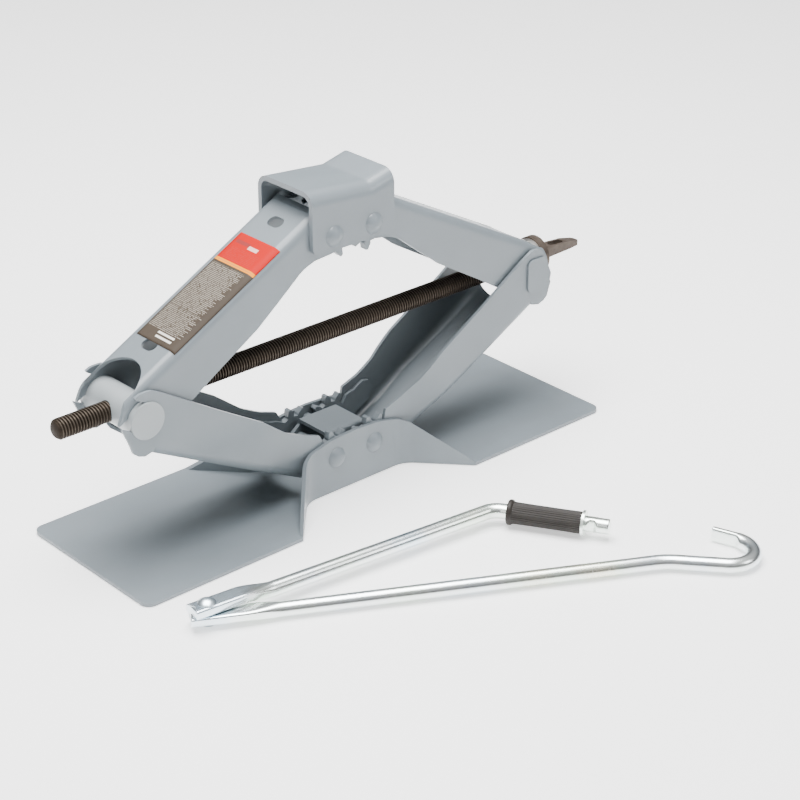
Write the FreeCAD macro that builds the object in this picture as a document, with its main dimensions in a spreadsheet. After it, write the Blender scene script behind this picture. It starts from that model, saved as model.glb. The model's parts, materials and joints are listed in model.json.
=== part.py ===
"""Scissor stabilizer jack with its loose folding crank, in millimetres.

The screw runs along X with its drive eye at +X.  +Z is up.  The origin is the
middle of the base plate's underside.  The arms stand at their resting angle.
"""
import FreeCAD, Part
import math
import os
import re
import Sketcher

Vector = FreeCAD.Vector
doc = FreeCAD.newDocument("StabilizerJack")

# ---------------------------------------------------------------- sizes
SIZES = [
    ("base_length", 470), ("base_width", 148), ("base_sheet", 3), ("base_corner", 8),
    ("ear_face", 31), ("ear_reach", 50), ("facet_reach", 90), ("ear_bend", 22),
    ("ear_mid_height", 47), ("ear_shoulder", 25), ("ear_end_height", 40.5),
    ("pin_height", 29.2), ("pin_spread", 19.5), ("pin_radius", 5), ("pin_gap", 0.05),
    ("pin_head_radius", 8.4), ("pin_head_height", 4.6), ("side_gap", 0.3),
    ("arm_length", 200), ("rest_angle", 27.9), ("arm_sheet", 2.5), ("arm_bend", 8),
    ("lower_depth", 24), ("upper_depth", 23), ("arm_rim", 20), ("flare", 3.8),
    ("flare_start", 37), ("flare_end", 86),
    ("lower_web_start", 22), ("upper_web_start", -2), ("lower_web_end", 176), ("upper_web_end", 173),
    ("web_notch", 24), ("web_bow", 7),
    ("web_rib_width", 9), ("web_rib_height", 1.2), ("web_rib_start", 34), ("web_rib_end", 172),
    ("slot_across", 15), ("slot_along", 10), ("slot_near", 22), ("slot_far", 157),
    ("edge_near", 11), ("edge_waist", 10.5), ("thin_edge_near", 5.5), ("thin_edge_waist", 9), ("edge_mid", 15.5),
    ("edge_far", 18), ("edge_end", 21), ("lobe_radius", 22.9), ("lobe_round", 11),
    ("cheek_depth", 27.4), ("hook_tip", 3.5),
    ("hook_reach_left", 20), ("hook_reach_right", 15), ("mouth_left", 11.5), ("mouth_right", 2.6),
    ("gear_sheet", 3), ("gear_length", 46), ("tooth_addendum", 2.9), ("tooth_dedendum", 3.9),
    ("tooth_step", 36), ("tooth_foot_turn", 10.2), ("tooth_tip_turn", 3.5), ("tooth_tip_round", 0.9),
    ("spacer_half", 18), ("spacer_sheet", 3), ("spacer_reach", 19), ("spacer_rise", 16),
    ("spacer_foot", 9), ("spacer_lug", 8),
    ("saddle_sheet", 4), ("saddle_left", 40.5), ("saddle_right", 40), ("saddle_skirt", 11.4),
    ("saddle_rise", 38), ("saddle_dip", 5.3), ("saddle_crease", 18), ("saddle_bend", 11),
    ("saddle_crease_bend", 12), ("saddle_corner", 7),
    ("nut_radius", 14.6), ("nut_gap", 0.1), ("trunnion_proud", 1.5),
    ("journal_radius", 10.3), ("head_across", 21.4), ("head_tall", 29.2), ("head_round", 6),
    ("block_flat", 11.5), ("screw_radius", 8), ("screw_gap", 0.1), ("screw_stub", 58),
    ("race_radius", 15), ("race_sheet", 3), ("ball_radius", 2.5), ("ball_ring", 11.5),
    ("cage_sheet", 2), ("washer_sheet", 1.6), ("collar_radius", 16.2), ("collar_sheet", 7),
    ("eye_length", 47.8), ("eye_root", 14), ("eye_tip", 9), ("eye_sheet", 8.4), ("eye_tip_round", 4),
    ("eye_slot_start", 14.5), ("eye_slot_end", 30.5), ("eye_slot_width", 6.4),
    ("eye_taper_start", 23), ("eye_taper_mid", 39.7), ("eye_tip_top", -0.2), ("eye_tip_low", -3.6),
    ("label_start", 42), ("label_end", 154), ("label_half", 19), ("label_sheet", 0.3),
    ("rod_radius", 6), ("hinge_x", -215.5), ("hinge_y", -120), ("rod_turn", -28.6),
    ("rod_length", 332), ("kink_turn", -20.6), ("kink_bend", 50), ("kink_run", 36),
    ("hook_bend", 20), ("hook_turn", 158), ("hook_run", 20), ("hook_flat", 2.6),
    ("hook_flat_length", 20), ("tab_sheet", 7.6), ("tab_rise", 1.5), ("tab_half", 9.5), ("tab_end", 13),
    ("tab_neck", 25), ("tab_taper", 30), ("tab_gap", 0.55), ("tab_notch", 3.4),
    ("hinge_radius", 3.6), ("hinge_head_radius", 7), ("hinge_head_height", 3.2),
    ("arm_turn", -6.6), ("arm_run", 246), ("arm_corner_turn", -52.1), ("arm_corner_bend", 16),
    ("arm_axis_height", 11.2), ("grip_radius", 8.6), ("grip_lip_radius", 10), ("grip_lip", 5),
    ("grip_length", 58), ("grip_gap", 0.08), ("grip_start", 4), ("grip_washer_radius", 10),
    ("grip_washer_sheet", 2), ("arm_tail", 19),
]

sheet = doc.addObject("Spreadsheet::Sheet", "Sizes")
for row, (alias, size) in enumerate(SIZES, start=1):
    sheet.set("A%d" % row, alias)
    sheet.set("B%d" % row, str(size))
    sheet.setAlias("B%d" % row, alias)
doc.recompute()

NAMES = {alias for alias, size in SIZES}


def formula(text):
    """Write sheet names in full, so 'arm_length / 2' becomes 'Sizes.arm_length / 2'."""
    return re.sub(r"[a-z]\w*", lambda word: "Sizes." + word[0] if word[0] in NAMES else word[0], str(text))


def size(text):
    """The present value of a formula."""
    return float(sheet.evalExpression(formula(text)))


def tie(thing, prop, text):
    thing.setExpression(prop, formula(text))


# ---------------------------------------------------------------- drawing helpers
def new_body(label):
    body = doc.addObject("PartDesign::Body", label)
    body.Label = label
    return body


def sketch_on(body, name, role, lift="0"):
    """A sketch on one of the body's own planes, moved along that plane's normal by lift."""
    sketch = body.newObject("Sketcher::SketchObject", name)
    flat = [item for item in body.Origin.OriginFeatures if item.Role == role]
    sketch.AttachmentSupport = [(flat[0], "")]
    sketch.MapMode = "FlatFace"
    tie(sketch, ".AttachmentOffset.Base.z", lift)
    return sketch


def hold(sketch, kind, number, end, text):
    """Fix one point of a sketch at a distance from the origin that follows a formula."""
    index = sketch.addConstraint(Sketcher.Constraint(kind, -1, 1, number, end, size(text)))
    tie(sketch, "Constraints[%d]" % index, text)


def polygon(sketch, corners):
    """A closed outline whose corners follow formulas.

    A third value in a corner makes the side that leaves it an arc of that radius,
    written with a leading minus where the outline bends to the right.
    """
    first = sketch.GeometryCount
    places = [Vector(size(corner[0]), size(corner[1]), 0) for corner in corners]
    count = len(places)
    entry = []
    for i, corner in enumerate(corners):
        start, end = places[i], places[(i + 1) % count]
        if len(corner) == 2:
            sketch.addGeometry(Part.LineSegment(start, end))
            entry.append(1)
            continue
        radius = size(corner[2])
        chord = end - start
        bulge = abs(radius) - math.sqrt(radius * radius - chord.Length * chord.Length / 4)
        aside = Vector(chord.y, -chord.x, 0).normalize()
        middle = (start + end) / 2 + aside * bulge * (1 if radius > 0 else -1)
        sketch.addGeometry(Part.Arc(start, middle, end))
        entry.append(1 if radius > 0 else 2)
    for i, corner in enumerate(corners):
        following = (i + 1) % count
        sketch.addConstraint(Sketcher.Constraint("Coincident", first + i, 3 - entry[i],
                                                 first + following, entry[following]))
        hold(sketch, "DistanceX", first + i, entry[i], corner[0])
        hold(sketch, "DistanceY", first + i, entry[i], corner[1])
        if len(corner) == 3:
            radius = corner[2].lstrip("-")
            index = sketch.addConstraint(Sketcher.Constraint("Radius", first + i, size(radius)))
            tie(sketch, "Constraints[%d]" % index, radius)


def rectangle(sketch, left, low, right, high):
    polygon(sketch, [(left, low), (right, low), (right, high), (left, high)])


def circle(sketch, across, along, radius):
    middle = Vector(size(across), size(along), 0)
    number = sketch.addGeometry(Part.Circle(middle, Vector(0, 0, 1), size(radius)))
    hold(sketch, "DistanceX", number, 3, across)
    hold(sketch, "DistanceY", number, 3, along)
    index = sketch.addConstraint(Sketcher.Constraint("Radius", number, size(radius)))
    tie(sketch, "Constraints[%d]" % index, radius)


def sound(feature, body):
    """Recompute, and stop at once if the newest feature gave no solid."""
    doc.recompute()
    if not feature.isValid() or feature.Shape.isNull() or feature.Shape.Volume <= 0:
        raise RuntimeError(body.Label + " " + feature.Name + " gives no solid")
    return feature


def pad(body, name, sketch, length, both=False, back=False):
    feature = body.newObject("PartDesign::Pad", name)
    feature.Profile = sketch
    feature.SideType = "Symmetric" if both else "One side"
    feature.Reversed = back
    tie(feature, "Length", length)
    return sound(feature, body)


def pocket(body, name, sketch, length=None, back=False):
    """Cut a sketch through the body, or to a depth; the cut has to remove something."""
    before = body.Tip.Shape.Volume
    feature = body.newObject("PartDesign::Pocket", name)
    feature.Profile = sketch
    if length is None:
        feature.SideType = "Symmetric"
        feature.Type = "ThroughAll"
    else:
        feature.Reversed = back
        tie(feature, "Length", length)
    sound(feature, body)
    if feature.Shape.Volume > before - 0.01:
        raise RuntimeError(body.Label + " " + name + " cuts nothing")
    return feature


def spin(body, name, sketch, axis="H_Axis"):
    feature = body.newObject("PartDesign::Revolution", name)
    feature.Profile = sketch
    feature.ReferenceAxis = (sketch, [axis])
    feature.Angle = 360
    return sound(feature, body)


def fillet(body, name, radius, wanted):
    """Round the edges of the body's newest feature that the test picks."""
    base = body.Tip
    edges = ["Edge%d" % (i + 1) for i, edge in enumerate(base.Shape.Edges) if wanted(edge)]
    if not edges:
        raise RuntimeError(body.Label + " " + name + " finds no edge")
    feature = body.newObject("PartDesign::Fillet", name)
    feature.Base = (base, edges)
    tie(feature, "Radius", radius)
    return sound(feature, body)


def near(one, other, slack=0.02):
    return abs(one - other) < slack


def stands_at(spots, across, along):
    """A test for edges at right angles to a plane that pass through the given spots of it."""
    places = [(size(a), size(b)) for a, b in spots]

    def wanted(edge):
        start = edge.Vertexes[0].Point
        end = edge.Vertexes[-1].Point
        if not (near(start[across], end[across]) and near(start[along], end[along])):
            return False
        return edge.Length > 0.1 and any(near(start[across], a) and near(start[along], b) for a, b in places)

    return wanted


def upright(spots):
    return stands_at(spots, 0, 1)


def crosswise(spots):
    return stands_at(spots, 0, 2)


def in_level(level, side):
    """A test for long edges in a level plane, at least side away from the middle."""
    height = size(level)
    limit = size(side)

    def wanted(edge):
        box = edge.BoundBox
        flat = near(box.ZMin, height) and near(box.ZMax, height)
        return flat and box.XLength > 1.0 and min(abs(box.YMin), abs(box.YMax)) > limit

    return wanted


def place(thing, x, y, z, turn=None):
    thing.Placement = FreeCAD.Placement(Vector(size(x), size(y), size(z)), turn or FreeCAD.Rotation())


def leaning(side, sign):
    """The turn of an arm: side +1 points right and -1 left, sign +1 rises and -1 falls."""
    lean = FreeCAD.Rotation(Vector(0, 1, 0), -side * sign * size("rest_angle"))
    if side > 0:
        return lean
    return lean * FreeCAD.Rotation(Vector(0, 0, 1), 180)


ARM_OUTER = "(ear_face - base_sheet - side_gap)"
ARM_INNER = "(ear_face - base_sheet - side_gap - arm_sheet)"
WIDE_OUTER = "(ear_face - base_sheet - side_gap + flare)"
WIDE_INNER = "(ear_face - base_sheet - side_gap + flare - arm_sheet)"
TRUNNION_X = "(pin_spread + arm_length * cos(rest_angle * 1 deg))"
TRUNNION_Z = "(pin_height + arm_length * sin(rest_angle * 1 deg))"
TOP_PIN_Z = "(pin_height + 2 * arm_length * sin(rest_angle * 1 deg))"
SADDLE_OUTER = "(ear_face - base_sheet + saddle_sheet)"
FREE_LENGTH = 400


# ---------------------------------------------------------------- base plate
def base_plate():
    """One sheet: two flat wings, and a middle folded up into two ears with slanted ends."""
    body = new_body("base_plate")
    plate = sketch_on(body, "plate_outline", "XY_Plane")
    left_ends = [("-base_length / 2", "-base_width / 2"), ("-facet_reach", "-base_width / 2"),
                 ("-ear_reach", "-ear_face"), ("ear_reach", "-ear_face"),
                 ("facet_reach", "-base_width / 2"), ("base_length / 2", "-base_width / 2")]
    right_ends = [(x.lstrip("-") if x.startswith("-") else "-" + x, y.lstrip("-")) for x, y in left_ends]
    polygon(plate, left_ends + right_ends)
    pad(body, "plate", plate, "base_sheet")

    # The flange follows the fold line; its inner face is one sheet further in.
    slope = "((base_width / 2 - ear_face) / (facet_reach - ear_reach))"
    shift = "(base_sheet * (sqrt(1 + pow(%s; 2)) - 1) / %s)" % (slope, slope)
    inner_end = "(facet_reach + base_sheet * sqrt(1 + pow(%s; 2)) / %s)" % (slope, slope)
    for name, way in (("near", "-"), ("far", "")):
        strip = sketch_on(body, name + "_flange_outline", "XY_Plane")
        polygon(strip, [
            ("-facet_reach", way + "base_width / 2"), ("-ear_reach", way + "ear_face"),
            ("ear_reach", way + "ear_face"), ("facet_reach", way + "base_width / 2"),
            (inner_end, way + "base_width / 2"),
            ("ear_reach + " + shift, way + "(ear_face - base_sheet)"),
            ("-ear_reach - " + shift, way + "(ear_face - base_sheet)"),
            ("-" + inner_end, way + "base_width / 2")])
        pad(body, name + "_flange", strip, "ear_mid_height + 5")
    outer = [(x + "ear_reach", y + "ear_face") for x in ("", "-") for y in ("", "-")]
    inner = [(x + "(ear_reach + " + shift + ")", y + "(ear_face - base_sheet)")
             for x in ("", "-") for y in ("", "-")]
    fillet(body, "outer_fold", "ear_bend", upright(outer))
    fillet(body, "inner_fold", "ear_bend + base_sheet", upright(inner))

    trim = sketch_on(body, "ear_top_line", "XZ_Plane")
    high = "(ear_mid_height + 30)"
    polygon(trim, [
        ("-" + inner_end + " - 1", "base_sheet"), ("-facet_reach", "base_sheet"),
        ("-(ear_reach + 4)", "ear_end_height - 4"), ("-(ear_reach - 4)", "ear_end_height"),
        ("-ear_shoulder", "ear_mid_height - 1.2"), ("0", "ear_mid_height"),
        ("ear_shoulder", "ear_mid_height - 1.2"),
        ("ear_reach - 4", "ear_end_height"), ("ear_reach + 4", "ear_end_height - 4"),
        ("facet_reach", "base_sheet"), (inner_end + " + 1", "base_sheet"),
        (inner_end + " + 1", high), ("-" + inner_end + " - 1", high)])
    pocket(body, "ear_trim", trim)
    peaks = [(x + "(ear_reach - 4)", "ear_end_height") for x in ("", "-")]
    fillet(body, "ear_peak", "10", crosswise(peaks))
    fillet(body, "ear_crown", "60", crosswise([("-ear_shoulder", "ear_mid_height - 1.2"),
                                               ("ear_shoulder", "ear_mid_height - 1.2")]))

    holes = sketch_on(body, "pin_holes", "XZ_Plane")
    circle(holes, "-pin_spread", "pin_height", "pin_radius")
    circle(holes, "pin_spread", "pin_height", "pin_radius")
    pocket(body, "pin_bores", holes)
    corners = [(x + "base_length / 2", y + "base_width / 2") for x in ("", "-") for y in ("", "-")]
    fillet(body, "plate_corners", "base_corner", upright(corners))
    return body


# ---------------------------------------------------------------- rivets
def rivet(label, half_grip, radius, head_radius, head_height):
    """A shank along Z between two domed heads, each a slice of a ball."""
    shank = doc.addObject("Part::Cylinder", label + "_shank")
    tie(shank, "Radius", radius)
    tie(shank, "Height", "2 * " + half_grip)
    tie(shank, ".Placement.Base.z", "-" + half_grip)
    ball = "((pow(%s; 2) + pow(%s; 2)) / (2 * %s))" % (head_radius, head_height, head_height)
    shapes = [shank]
    for side, turn in (("top", 0), ("bottom", 180)):
        dome = doc.addObject("Part::Sphere", label + "_" + side)
        tie(dome, "Radius", ball)
        tie(dome, "Angle1", "asin((%s - %s) / %s)" % (ball, head_height, ball))
        dome.Angle2 = 90
        lift = "(%s + %s - %s)" % (half_grip, head_height, ball)
        dome.Placement.Rotation = FreeCAD.Rotation(Vector(1, 0, 0), turn)
        tie(dome, ".Placement.Base.z", lift if turn == 0 else "-" + lift)
        shapes.append(dome)
    whole = doc.addObject("Part::MultiFuse", label)
    whole.Shapes = shapes
    whole.Label = label
    return whole


ALONG_Y = FreeCAD.Rotation(Vector(1, 0, 0), -90)


def pin_rivets():
    made = []
    for label, x, z, half in (
            ("base_rivet_left", "-pin_spread", "pin_height", "ear_face"),
            ("base_rivet_right", "pin_spread", "pin_height", "ear_face"),
            ("saddle_rivet_left", "-pin_spread", TOP_PIN_Z, SADDLE_OUTER),
            ("saddle_rivet_right", "pin_spread", TOP_PIN_Z, SADDLE_OUTER)):
        part = rivet(label, half, "pin_radius", "pin_head_radius", "pin_head_height")
        place(part, x, "0", z, ALONG_Y)
        made.append(part)
    return made


# ---------------------------------------------------------------- spacer
def base_spacer():
    """A flat-topped bridge whose two legs are threaded on the base rivets."""
    body = new_body("base_spacer")
    side = sketch_on(body, "side_outline", "XZ_Plane")
    polygon(side, [
        ("-spacer_reach", "spacer_rise"), ("-spacer_reach", "spacer_rise - 5"),
        ("-(pin_spread + spacer_lug)", "4"), ("-(pin_spread + spacer_lug)", "-spacer_foot"),
        ("pin_spread + spacer_lug", "-spacer_foot"), ("pin_spread + spacer_lug", "4"),
        ("spacer_reach", "spacer_rise - 5"), ("spacer_reach", "spacer_rise")])
    pad(body, "block", side, "2 * spacer_half", both=True)
    hollow = sketch_on(body, "hollow_outline", "YZ_Plane")
    inside = "(spacer_half - spacer_sheet)"
    rectangle(hollow, "-" + inside, "-spacer_foot - 1", inside, "spacer_rise - spacer_sheet")
    pocket(body, "hollow", hollow)
    fillet(body, "top_bends", "spacer_sheet", in_level("spacer_rise", "spacer_half - 0.1"))
    holes = sketch_on(body, "pin_holes", "XZ_Plane")
    circle(holes, "-pin_spread", "0", "pin_radius")
    circle(holes, "pin_spread", "0", "pin_radius")
    pocket(body, "pin_bores", holes)
    place(body, "0", "0", "pin_height")
    return body


# ---------------------------------------------------------------- arms
FIRST_TOOTH = {("full", 1): 54, ("half", 1): 36, ("full", -1): 90, ("half", -1): 72}


def polar(radius, turn):
    """A point at a radius and a turn in degrees from the arm's own direction."""
    return ("%s * cos((%s) * 1 deg)" % (radius, turn), "%s * sin((%s) * 1 deg)" % (radius, turn))


def teeth(start, last=198):
    """The corners of straight-flanked teeth, one step apart, counter-clockwise from start."""
    root = "(pin_spread - tooth_dedendum)"
    flank = "(pin_spread - tooth_dedendum / 2)"
    tip = "(pin_spread + tooth_addendum)"
    corners = []
    for k in range((last - start) // 36 + 1):
        middle = "%d + %d * tooth_step" % (start, k)
        corners.append(polar(root, middle + " - tooth_foot_turn"))
        corners.append(polar(flank, middle + " - tooth_foot_turn"))
        corners.append(polar(tip, middle + " - tooth_tip_turn"))
        corners.append(polar(tip, middle + " + tooth_tip_turn"))
        corners.append(polar(flank, middle + " + tooth_foot_turn"))
        corners.append(polar(root, middle + " + tooth_foot_turn"))
    return corners


def flipped(corners, sign):
    if sign > 0:
        return corners
    return [(x, "-(" + y + ")") for x, y in corners]


def tooth_tips(start, sign):
    tips = [corner for i, corner in enumerate(teeth(start)) if i % 6 in (2, 3)]
    return flipped(tips, sign)


def arm(label, side, sign, phase, reach, mouth, hole):
    """A channel with toothed inner ends; sign +1 opens upwards and -1 downwards."""
    lower = sign > 0
    depth = "lower_depth" if lower else "upper_depth"
    wide_outer = WIDE_OUTER if lower else ARM_OUTER
    wide_inner = WIDE_INNER if lower else ARM_INNER
    way = "-" if lower else ""
    other = "" if lower else "-"
    start = FIRST_TOOTH[phase, sign]
    body = new_body(label)

    def plan(name, narrow, wide, lift):
        """A strip that widens over an S of two equal arcs; the upper arm's is straight."""
        outline = sketch_on(body, name, "XY_Plane", lift)
        tail = "arm_length + 40"
        if not lower:
            rectangle(outline, "-arm_rim - 10", "-" + narrow, tail, narrow)
            return outline
        half_way = ("(flare_start + flare_end) / 2", "(%s + %s) / 2" % (narrow, wide))
        bend = "((pow(flare_end - flare_start; 2) + pow(flare; 2)) / (4 * flare))"
        polygon(outline, [
            ("-arm_rim - 10", "-" + narrow), ("flare_start", "-" + narrow, "-" + bend),
            (half_way[0], "-" + half_way[1], bend), ("flare_end", "-" + wide), (tail, "-" + wide),
            (tail, wide), ("flare_end", wide, bend), half_way + ("-" + bend,),
            ("flare_start", narrow), ("-arm_rim - 10", narrow)])
        return outline

    # Outer shape, then the hollow, then everything outside the wall's outline is cut off.
    pad(body, "blank", plan("outer_plan", ARM_OUTER, wide_outer, way + depth), depth + " + arm_rim + 20",
        back=not lower)
    fillet(body, "outer_bends", "arm_bend", in_level(way + depth, ARM_OUTER + " - 0.5"))
    pocket(body, "channel", plan("inner_plan", ARM_INNER, wide_inner, other + "(arm_rim + 20)"),
           depth + " + arm_rim + 20 - arm_sheet", back=not lower)
    floor = "-(lower_depth - arm_sheet)" if lower else "upper_depth - arm_sheet"
    fillet(body, "inner_bends", "arm_bend - arm_sheet", in_level(floor, ARM_INNER + " - 0.5"))

    wall = sketch_on(body, "wall_outline", "XZ_Plane")
    far = "%d" % FREE_LENGTH
    rectangle(wall, "-" + far, "-" + far, far, far)
    lobe = [polar("lobe_radius", turn) for turn in (105, 75, 50)]
    lobe = [("arm_length + " + x, y) for x, y in lobe]
    if lower:
        edge = [("24", "edge_near + 2.5"), ("40", "edge_near"), ("60", "edge_waist")]
    else:
        edge = [("22", "thin_edge_near + 2"), ("34", "thin_edge_near"), ("52", "thin_edge_waist")]
    edge += [("89", "edge_mid"), ("138", "edge_far"), ("178", "edge_end")]
    end = [("arm_length + " + reach, "11"), ("arm_length + " + reach + " - 1", "-11"),
           ("arm_length + 4", "-" + depth + " + 1"), ("arm_length - 6", "-" + depth + " - 1")]
    heel = [("8", "-" + depth + " - 1"), ("-6", "-20"), polar("(pin_spread - tooth_dedendum)", "228")]
    crown = [polar("(pin_spread - tooth_dedendum)", "%d - tooth_step + tooth_foot_turn" % start)]
    outline = crown + teeth(start) + heel[::-1] + end[::-1] + lobe[::-1] + edge[::-1]
    polygon(wall, flipped(outline, sign))
    pocket(body, "wall_trim", wall)
    fillet(body, "lobe_rounds", "lobe_round", crosswise(flipped(lobe + end[:1], sign)))
    fillet(body, "end_rounds", "4", crosswise(flipped(end[1:3] + heel[1:2], sign)))
    fillet(body, "edge_sweeps", "30", crosswise(flipped(edge[1:], sign)))
    fillet(body, "tooth_rounds", "tooth_tip_round", crosswise(tooth_tips(start, sign)))

    # The web stops short of both pivots; its far end is a rounded notch.
    near_cut = sketch_on(body, "inner_web_cut", "XY_Plane")
    web_start = "lower_web_start" if lower else "upper_web_start"
    rectangle(near_cut, "-arm_rim - 20", "-" + ARM_INNER, web_start, ARM_INNER)
    pocket(body, "inner_web_end", near_cut)
    far_cut = sketch_on(body, "outer_web_cut", "XY_Plane")
    web_end = "lower_web_end" if lower else "upper_web_end"
    notch, bow = (wide_inner, "web_bow") if lower else ("web_notch", "web_notch")
    bend = "((pow(%s; 2) + pow(%s; 2)) / (2 * %s))" % (bow, notch, bow)
    polygon(far_cut, [("arm_length + 40", "-" + notch), ("arm_length + 40", notch),
                      (web_end + " + " + bow, notch, bend), (web_end, "0", bend),
                      (web_end + " + " + bow, "-" + notch)])
    pocket(body, "outer_web_end", far_cut)
    if lower:
        for name, lift in (("near_cheek", wide_inner), ("far_cheek", "-" + wide_outer)):
            cheek = sketch_on(body, name + "_outline", "XZ_Plane", lift)
            polygon(cheek, [("arm_length - 16", "-14"), ("arm_length - 16", "-lower_depth + 3"),
                            ("arm_length - 10", "-cheek_depth + 1"), ("arm_length - 4", "-cheek_depth"),
                            ("arm_length + 1", "-cheek_depth + 1"), ("arm_length + 10", "-18"),
                            ("arm_length + 10", "-14")])
            pad(body, name, cheek, "arm_sheet")

    holes = sketch_on(body, "pivot_holes", "XZ_Plane")
    circle(holes, "0", "0", "pin_radius + pin_gap")
    circle(holes, "arm_length", "0", hole)
    pocket(body, "pivot_bores", holes)
    gap = sketch_on(body, "mouth_outline", "XZ_Plane")
    # The mouth widens at the tip, which takes the point off the hook.
    low, high = "-%s + 1" % mouth, "%s + 1" % mouth
    tip = "arm_length + " + reach
    polygon(gap, flipped([("arm_length", low), ("arm_length + 40", low),
                          ("arm_length + 40", high + " + hook_tip"), (tip + " + 1", high + " + hook_tip"),
                          (tip + " - hook_tip", high), ("arm_length", high)], sign))
    pocket(body, "mouth", gap)

    if lower:
        rib = sketch_on(body, "rib_outline", "XY_Plane", "-lower_depth + arm_sheet")
        rectangle(rib, "web_rib_start", "-web_rib_width / 2", "web_rib_end", "web_rib_width / 2")
        pad(body, "web_rib", rib, "web_rib_height")
    else:
        slots = sketch_on(body, "slot_outlines", "XY_Plane", "upper_depth + 1")
        spots = []
        for middle in ("slot_near", "slot_far"):
            left, right = middle + " - slot_along / 2", middle + " + slot_along / 2"
            rectangle(slots, left, "-slot_across / 2", right, "slot_across / 2")
            spots += [(x, y + "slot_across / 2") for x in (left, right) for y in ("", "-")]
        pocket(body, "web_slots", slots, "arm_sheet + 2")
        fillet(body, "slot_rounds", "slot_along / 2 - 0.1", upright(spots))

    if lower:
        place(body, "%d * pin_spread" % side, "0", "pin_height", leaning(side, 1))
    else:
        place(body, "%d * pin_spread" % side, "0", TOP_PIN_Z, leaning(side, -1))
    return body


def gear_plate(label, side, sign, phase, way):
    """A toothed doubler plate against the inside of one arm wall, round the pivot."""
    start = FIRST_TOOTH[phase, sign]
    body = new_body(label)
    lift = "(" + ARM_INNER + " - gear_sheet)" if way < 0 else "-" + ARM_INNER
    face = sketch_on(body, "plate_outline", "XZ_Plane", lift)
    crown = [polar("(pin_spread - tooth_dedendum)", "%d - tooth_step + tooth_foot_turn" % start)]
    tail = [("-4", "-14.5"), ("gear_length - 8", "-14.5"), ("gear_length", "-6.5"), ("gear_length", "1"),
            ("gear_length - 5", "thin_edge_near - 0.5"), ("30", "thin_edge_near - 0.5"), ("22", "7")]
    polygon(face, flipped(crown + teeth(start) + tail, sign))
    pad(body, "plate", face, "gear_sheet")
    holes = sketch_on(body, "pin_hole", "XZ_Plane")
    circle(holes, "0", "0", "pin_radius + pin_gap")
    pocket(body, "pin_bore", holes)
    fillet(body, "tooth_rounds", "tooth_tip_round", crosswise(tooth_tips(start, sign)))
    height = "pin_height" if sign > 0 else TOP_PIN_Z
    place(body, "%d * pin_spread" % side, "0", height, leaning(side, sign))
    return body


def arms():
    made = []
    nut_hole = "nut_radius + nut_gap"
    journal_hole = "journal_radius + nut_gap"
    for side, name, phase, reach, mouth, hole in (
            (-1, "left", "full", "hook_reach_left", "mouth_left", nut_hole),
            (1, "right", "half", "hook_reach_right", "mouth_right", journal_hole)):
        for sign, level in ((1, "lower"), (-1, "upper")):
            made.append(arm("%s_arm_%s" % (level, name), side, sign, phase, reach, mouth, hole))
            for way, face in ((-1, "front"), (1, "back")):
                label = "%s_gear_%s_%s" % (level, name, face)
                made.append(gear_plate(label, side, sign, phase, way * side))
    return made


# ---------------------------------------------------------------- saddle
def saddle():
    """An upturned channel over the upper arms; its top dips to a crease across the middle."""
    body = new_body("saddle")
    top = "saddle_rise"
    side = sketch_on(body, "side_outline", "XZ_Plane")
    polygon(side, [("-saddle_left", "-saddle_skirt"), ("saddle_right", "-saddle_skirt"), ("saddle_right", top),
                   ("saddle_crease", top + " - saddle_dip"), ("-saddle_left", top)])
    pad(body, "block", side, "2 * " + SADDLE_OUTER, both=True)
    fillet(body, "crease", "saddle_crease_bend", crosswise([("saddle_crease", top + " - saddle_dip")]))

    def long_top(side_text, drop):
        limit = size(side_text)
        low = size(top + " - saddle_dip - " + drop) - 0.1

        def wanted(edge):
            box = edge.BoundBox
            return box.ZMin > low and box.YLength < 0.01 and near(abs(box.YMin), limit) and box.XLength > 1

        return wanted

    fillet(body, "outer_bends", "saddle_bend", long_top(SADDLE_OUTER, "0"))
    inside = "(ear_face - base_sheet)"
    hollow = sketch_on(body, "hollow_outline", "XZ_Plane")
    polygon(hollow, [("-saddle_left - 5", "-saddle_skirt - 5"), ("saddle_right + 5", "-saddle_skirt - 5"),
                     ("saddle_right + 5", top + " - saddle_sheet"),
                     ("saddle_right", top + " - saddle_sheet"),
                     ("saddle_crease", top + " - saddle_dip - saddle_sheet"),
                     ("-saddle_left", top + " - saddle_sheet"),
                     ("-saddle_left - 5", top + " - saddle_sheet")])
    cut = body.newObject("PartDesign::Pocket", "hollow")
    cut.Profile = hollow
    cut.SideType = "Symmetric"
    tie(cut, "Length", "2 * " + inside)
    doc.recompute()
    fillet(body, "inner_crease", "saddle_crease_bend + saddle_sheet",
           crosswise([("saddle_crease", top + " - saddle_dip - saddle_sheet")]))
    fillet(body, "inner_bends", "saddle_bend - saddle_sheet", long_top(inside, "saddle_sheet"))
    fillet(body, "skirt_corners", "saddle_corner", crosswise([("-saddle_left", "-saddle_skirt"),
                                                              ("saddle_right", "-saddle_skirt")]))
    holes = sketch_on(body, "pin_holes", "XZ_Plane")
    circle(holes, "-pin_spread", "0", "pin_radius")
    circle(holes, "pin_spread", "0", "pin_radius")
    pocket(body, "pin_bores", holes)
    place(body, "0", "0", TOP_PIN_Z)
    return body


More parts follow.
